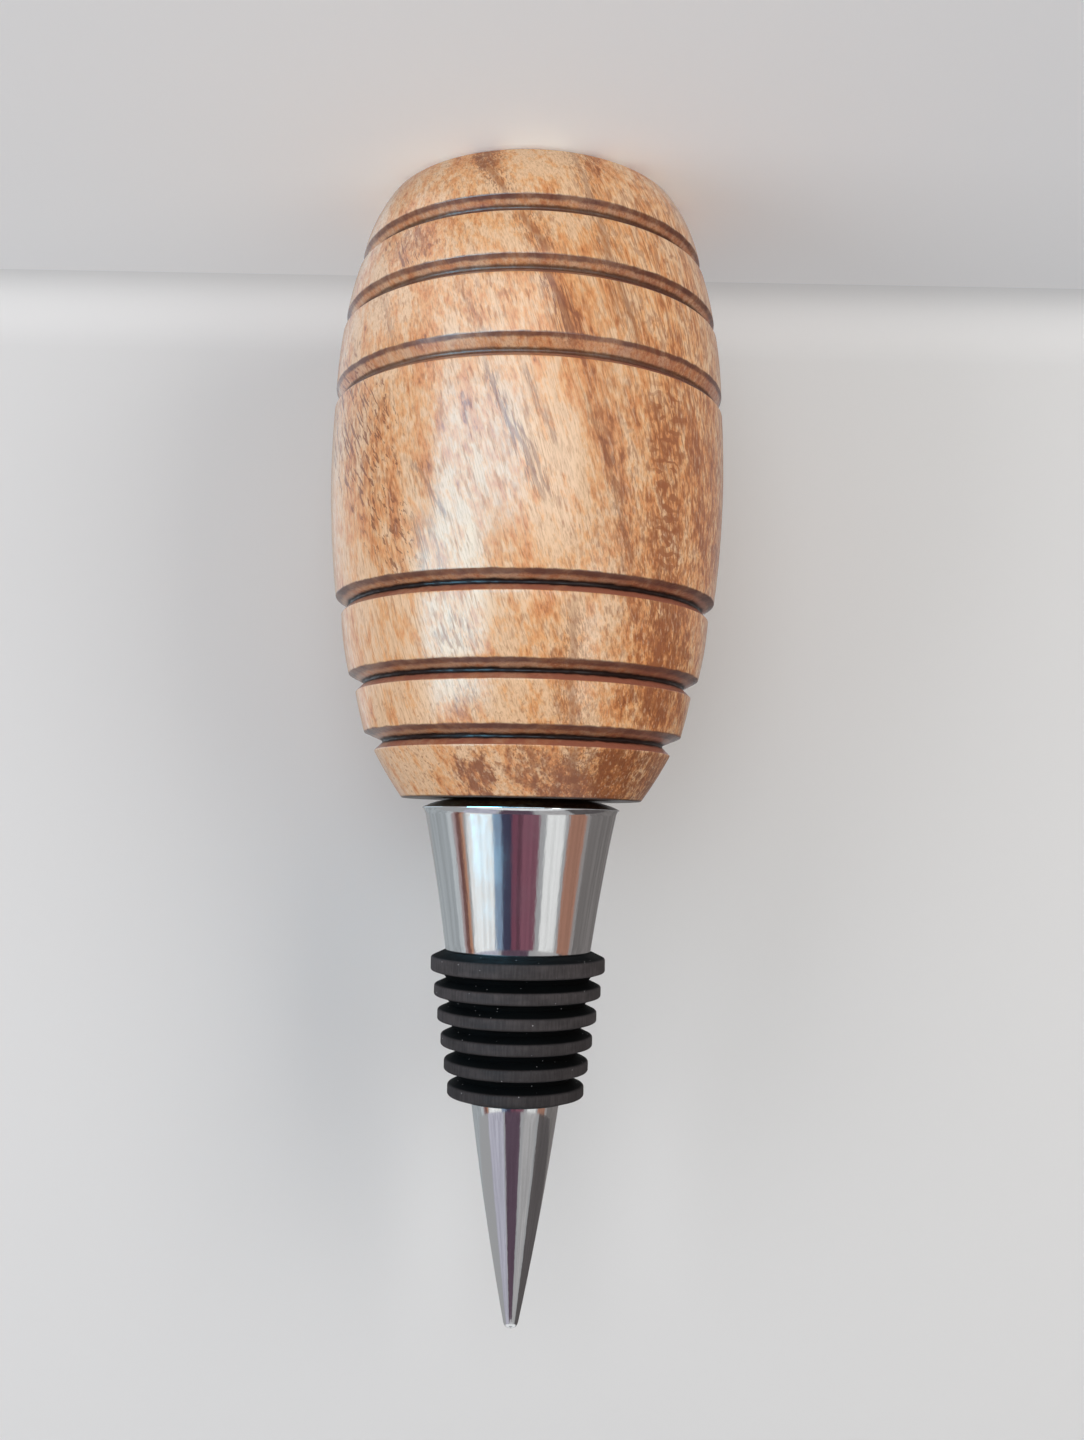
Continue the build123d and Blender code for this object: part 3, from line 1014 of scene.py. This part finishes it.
    # Clear gloss, which is thinner on the flecks and broken along the burned lines
    crusty = recipe.ease(recipe.cloud(plain, (1.1, 1.1, 0.25)), 0.42, 0.58, 0.5, 0.95)
    bare = recipe.most(recipe.times(marks, 0.35), recipe.times(black, crusty))
    relief = recipe.minus(recipe.times(fibres, 0.6), marks)
    recipe.fill(shader, {
        "Base Color": colour,
        "Roughness": recipe.ease(fibres, 0.3, 0.7, 0.34, 0.46),
        "Specular IOR Level": 0.1,
        "Coat Weight": recipe.minus(1, bare),
        "Coat Roughness": 0.22,
        "Coat IOR": 1.6,
        "Normal": recipe.bump(relief, 0.02, 0.6),
    })
    return material


def chrome_material(settings):
    """Polished plate with faint smudges and polishing marks."""
    material, recipe, shader = new_material("Polished chrome plate")
    place = recipe.millimetres()
    smudges = recipe.cloud(place, (3, 3, 5), 4, 0.6)
    specks = recipe.effect(dust_effect(), place=place, spacing=1.6, speck=0.05, share=0.25)[0]
    marks = recipe.effect(polish_effect(), place=place, spacing=0.12)[0]
    drawn = recipe.cloud(place, (0.3, 0.3, 30))
    recipe.fill(shader, {
        "Base Color": recipe.mix(recipe.times(specks, 0.3), settings.plate, settings.speck),
        "Roughness": recipe.ease(smudges, 0.35, 0.75, 0.07, 0.12),
        "Metallic": 1,
        "Normal": recipe.bump(recipe.scaled(marks, 0.1, drawn), 0.01, 0.6),
    })
    return material


def silicone_material(settings):
    """Matt black silicone with a fine grain, a little dust and ribs whose rims are painted paler as a
    painted sheen, dimmer towards the tip.
    """
    material, recipe, shader = new_material("Black moulded silicone")
    place = recipe.millimetres()
    side, depth, height = recipe.split(place)
    taper = (settings.first_radius - settings.last_radius) / SLEEVE_SPAN
    # Rims of the ribs painted paler as a painted sheen, mottled, streaked and dimmer towards the tip
    rims = recipe.scaled(recipe.minus(height, SLEEVE_START), taper / MM, recipe.reach(side, depth))
    rim_sheen = recipe.ease(rims, settings.first_radius / MM - 0.5, settings.first_radius / MM - 0.1)
    fine = recipe.cloud(place, (0.12, 0.12, 0.12))
    slow = recipe.cloud(place, (4, 4, 1.5), 3, 0.55)
    scuffs = recipe.cloud(place, (0.25, 0.25, 2.5))
    rim_sheen = recipe.times(
        rim_sheen, recipe.ease(slow, 0.3, 0.7, 0.7, 1), recipe.ease(scuffs, 0.35, 0.65, 0.75, 1),
        recipe.ease(height, SLEEVE_START, SLEEVE_START + SLEEVE_SPAN, 0.95, 0.68),
    )
    # Black silicone with the painted sheen on its rims
    mottled_sheen = recipe.mix(rim_sheen, settings.silicone, settings.rim_sheen_silicone)
    specks = recipe.effect(dust_effect(), place=place, spacing=0.7, speck=0.12, share=0.25)[0]
    dusty = recipe.mix(recipe.times(specks, 0.8), mottled_sheen, settings.dust)
    recipe.fill(shader, {
        "Base Color": dusty,
        "Roughness": recipe.ease(slow, 0.3, 0.7, 0.6, 0.75),
        "Specular IOR Level": 0.06,
        "Normal": recipe.bump(fine, 0.01, 0.5),
    })
    return material


def steel_material(settings):
    """Plain rolled steel thread."""
    material, recipe, shader = new_material("Rolled steel thread")
    place = recipe.millimetres()
    stain = recipe.cloud(place, (1.5, 1.5, 1.5))
    marks = recipe.effect(polish_effect(), place=place, spacing=0.2)[0]
    stained = recipe.mix(recipe.ease(stain, 0.45, 0.8, 0, 0.5), settings.steel, settings.stain)
    recipe.fill(shader, {
        "Base Color": stained,
        "Roughness": recipe.ease(stain, 0.3, 0.7, 0.28, 0.45),
        "Metallic": 1,
        "Normal": recipe.bump(marks, 0.01, 0.4),
    })
    return material


def stage_material(name, colour, glow, fade=0, see_through=False):
    """Matt paint for the stage, made paler in the picture alone, up to the height where that fades."""
    material, recipe, shader = new_material(name)
    seen = recipe.add("ShaderNodeLightPath").outputs["Is Camera Ray"]
    if fade:
        height = recipe.split(recipe.millimetres())[2]
        seen = recipe.times(seen, recipe.ease(height, 0, fade / MM, 1, 0))
    recipe.fill(shader, {
        "Base Color": colour,
        "Roughness": STAGE_ROUGHNESS,
        "Specular IOR Level": 0,
        "Emission Color": recipe.mix(seen, (0, 0, 0), (1, 1, 1)),
        "Emission Strength": glow,
    })
    if see_through:
        clear = recipe.add("ShaderNodeBsdfTransparent").outputs[0]
        behind = recipe.add("ShaderNodeNewGeometry").outputs["Backfacing"]
        mixed = recipe.add("ShaderNodeMixShader")
        for socket, value in zip(mixed.inputs, (behind, shader.outputs[0], clear)):
            recipe.feed(socket, value)
        output = next(node for node in recipe.tree.nodes if node.type == "OUTPUT_MATERIAL")
        recipe.feed(output.inputs["Surface"], mixed.outputs[0])
    return material


def direction(azimuth, elevation):
    """The direction that lies that many degrees left of the view and above the level."""
    aside, rise = math.radians(azimuth), math.radians(elevation)
    level = math.cos(rise)
    return Vector((math.sin(aside) * level, -math.cos(aside) * level, math.sin(rise)))


def hide_from(item, *rays):
    """Keeps a thing out of those kinds of ray."""
    for ray in rays:
        setattr(item, "visible_" + ray, False)


def set_stage_piece(item, name, material, *unseen_by):
    item.name = name
    item.data.materials.append(material)
    hide_from(item, *unseen_by)


def build_floor(settings):
    """Pale floor under the stopper."""
    select_nothing()
    bpy.ops.mesh.primitive_circle_add(
        vertices=FLOOR_SIDES, radius=FLOOR_RADIUS, fill_type="NGON", location=(0, 0, 0)
    )
    floor = bpy.context.object
    paint_job = stage_material("Pale floor", settings.floor, settings.glow)
    set_stage_piece(floor, "floor", paint_job, *CATCHES_LIGHT_ONLY)


def build_backdrop(settings):
    """Pale wall close behind the stopper, curved where it meets the floor."""
    cove = settings.cove
    outline = Outline("backdrop", 0, WALL_LIFT)
    outline.arc_to(cove, WALL_LIFT + cove, cove * (1 - math.sqrt(0.5)))
    outline.line_to((cove, WALL_HEIGHT))
    backdrop = outline.piece
    select_mesh()
    bpy.ops.transform.rotate(value=-math.pi / 2, orient_axis="Z", center_override=(0, 0, 0))
    start = settings.wall_distance - cove
    bpy.ops.transform.translate(value=(-WALL_HALF_WIDTH, start, 0))
    bpy.ops.mesh.extrude_region_move(TRANSFORM_OT_translate={"value": (2 * WALL_HALF_WIDTH, 0, 0)})
    select_mesh()
    bpy.ops.mesh.flip_normals()
    bpy.ops.object.mode_set(mode="OBJECT")
    bpy.ops.object.shade_smooth_by_angle(angle=SMOOTH_ANGLE)
    paint_job = stage_material("Pale backdrop", settings.backdrop, settings.glow, GLOW_HEIGHT * cove, True)
    set_stage_piece(backdrop, "backdrop", paint_job, *CATCHES_LIGHT_ONLY)


def build_cards():
    """Unevenly lit cards on a drum round the stopper, for its gloss and its polished metal to reflect."""
    for card in CARDS:
        outline = Outline(card.name, 0, card.low * MM)
        select_mesh()
        bpy.ops.transform.translate(value=direction(card.start, 0) * CARD_DISTANCE * MM)
        rise = (card.high - card.low) * MM
        bpy.ops.mesh.extrude_region_move(TRANSFORM_OT_translate={"value": (0, 0, rise)})
        select_mesh()
        span = math.radians(card.end - card.start)
        bpy.ops.mesh.spin(steps=CARD_STEPS, angle=-span, center=(0, 0, 0), axis=(0, 0, 1))
        bpy.ops.object.mode_set(mode="OBJECT")
        strength = max(card.colour)
        material, recipe, shader = new_material(card.name)
        # The card's glow is mottled, between its dimmed and its full colour
        mottled_sheen = recipe.ease(recipe.cloud(recipe.millimetres(), CARD_GRAIN, 4), 0.35, 0.65)
        pure = [part / strength for part in card.colour]
        dimmed = [part * CARD_DIMMING for part in pure]
        recipe.fill(shader, {
            "Base Color": (0, 0, 0),
            "Emission Color": recipe.mix(mottled_sheen, dimmed, pure),
            "Emission Strength": CARD_GAIN * strength,
            "Specular IOR Level": 0,
        })
        set_stage_piece(outline.piece, card.name, material, "camera", "diffuse", "shadow", "transmission")


def build_lamps(middle):
    """Soft lamps aimed at the stopper's middle, whose reflections are left to the cards."""
    for lamp in LAMPS:
        place = middle + direction(lamp.azimuth, lamp.elevation) * lamp.distance
        turned = (middle - place).to_track_quat("-Z", "Y").to_euler()
        select_nothing()
        bpy.ops.object.light_add(type="AREA", location=place, rotation=turned)
        item = bpy.context.object
        item.name = lamp.name
        item.data.shape = "RECTANGLE"
        item.data.size = lamp.width
        item.data.size_y = lamp.height
        item.data.energy = lamp.power
        item.data.color = lamp.colour
        hide_from(item, "camera", "glossy")


def build_camera(settings):
    """Camera at the photograph's distance, height and tilt."""
    camera = bpy.data.objects.new("camera", bpy.data.cameras.new("camera"))
    bpy.context.scene.collection.objects.link(camera)
    camera.location = (-settings.camera_aside, -settings.camera_distance, settings.camera_height)
    camera.rotation_euler = (math.pi / 2 + settings.camera_pitch, math.pi + settings.camera_roll, 0)
    camera.data.lens = settings.lens
    camera.data.clip_start = CLIP_START
    bpy.context.scene.camera = camera


def light_world(settings):
    """Even light from all round."""
    world = bpy.data.worlds.new("Even light")
    world.use_nodes = True
    background = world.node_tree.nodes["Background"]
    background.inputs["Color"].default_value = (*settings.surroundings, 1)
    background.inputs["Strength"].default_value = 1
    bpy.context.scene.world = world


class STOPPER_OT_stage(bpy.types.Operator):
    """Builds the floor, backdrop, lamps, cards and camera"""

    bl_idname = "stopper.build_stage"
    bl_label = "Stage"

    def execute(self, context):
        settings = context.scene.stopper_stage
        low, high = CAD_BOX
        middle = Vector((0, 0, (low[2] + high[2]) / 2))
        build_camera(settings)
        build_floor(settings)
        build_backdrop(settings)
        build_cards()
        build_lamps(middle)
        light_world(settings)
        context.scene.view_settings.view_transform = "Standard"
        return {"FINISHED"}


class BuildsPiece:
    """Models a piece, finishes it and puts it in its node's place."""

    def execute(self, context):
        piece, material = self.make(context.scene)
        place_piece(piece, self.node, self.slot, material)
        return {"FINISHED"}


class STOPPER_OT_head(BuildsPiece, bpy.types.Operator):
    """Turns the wooden head and finishes it"""

    bl_idname, bl_label = "stopper.build_head", "Wooden head"
    node, slot = "barrel_head", "turned_wood"

    def make(self, scene):
        return model_head(scene.stopper_head), wood_material(scene.stopper_head)


class STOPPER_OT_chrome(BuildsPiece, bpy.types.Operator):
    """Models the chrome body and finishes it"""

    bl_idname, bl_label = "stopper.build_chrome", "Chrome body"
    node, slot = "chrome_stopper", "chrome_plate"

    def make(self, scene):
        settings = scene.stopper_chrome
        return model_chrome(settings, scene.stopper_sleeve), chrome_material(settings)


class STOPPER_OT_sleeve(BuildsPiece, bpy.types.Operator):
    """Models the ribbed sleeve and finishes it"""

    bl_idname, bl_label = "stopper.build_sleeve", "Ribbed sleeve"
    node, slot = "ribbed_sleeve", "black_silicone"

    def make(self, scene):
        settings = scene.stopper_sleeve
        return model_sleeve(settings, scene.stopper_chrome), silicone_material(settings)


class STOPPER_OT_stud(BuildsPiece, bpy.types.Operator):
    """Cuts the stud's thread and finishes it"""

    bl_idname, bl_label = "stopper.build_stud", "Threaded stud"
    node, slot = "threaded_stud", "stud_steel"

    def make(self, scene):
        return model_stud(scene.stopper_stud), steel_material(scene.stopper_stud)


OPERATORS = (STOPPER_OT_stage, STOPPER_OT_head, STOPPER_OT_chrome, STOPPER_OT_sleeve, STOPPER_OT_stud)
SETTINGS = {
    "stopper_stage": StageSettings,
    "stopper_head": HeadSettings,
    "stopper_chrome": ChromeSettings,
    "stopper_sleeve": SleeveSettings,
    "stopper_stud": StudSettings,
}


class STOPPER_PT_panel(bpy.types.Panel):
    """Lists the pieces with their sizes and colours"""

    bl_idname = "STOPPER_PT_panel"
    bl_label = "Bottle stopper"
    bl_space_type = "VIEW_3D"
    bl_region_type = "UI"
    bl_category = "Stopper"

    def draw(self, context):
        for operator, group in zip(OPERATORS, SETTINGS):
            box = self.layout.box()
            box.operator(operator.bl_idname)
            settings = getattr(context.scene, group)
            for name in settings.__annotations__:
                box.prop(settings, name, text=label(name))


def register():
    """Adds the settings, operators and panel."""
    for name, group in SETTINGS.items():
        bpy.utils.register_class(group)
        setattr(bpy.types.Scene, name, bpy.props.PointerProperty(type=group))
    for operator in OPERATORS:
        bpy.utils.register_class(operator)
    bpy.utils.register_class(STOPPER_PT_panel)


def unregister():
    """Takes them away again."""
    bpy.utils.unregister_class(STOPPER_PT_panel)
    for operator in reversed(OPERATORS):
        bpy.utils.unregister_class(operator)
    for name, group in SETTINGS.items():
        delattr(bpy.types.Scene, name)
        bpy.utils.unregister_class(group)


def main():
    """Builds the stage and every piece."""
    register()
    bpy.ops.stopper.build_stage()
    bpy.ops.stopper.build_head()
    bpy.ops.stopper.build_chrome()
    bpy.ops.stopper.build_sleeve()
    bpy.ops.stopper.build_stud()


if __name__ == "__main__":
    main()
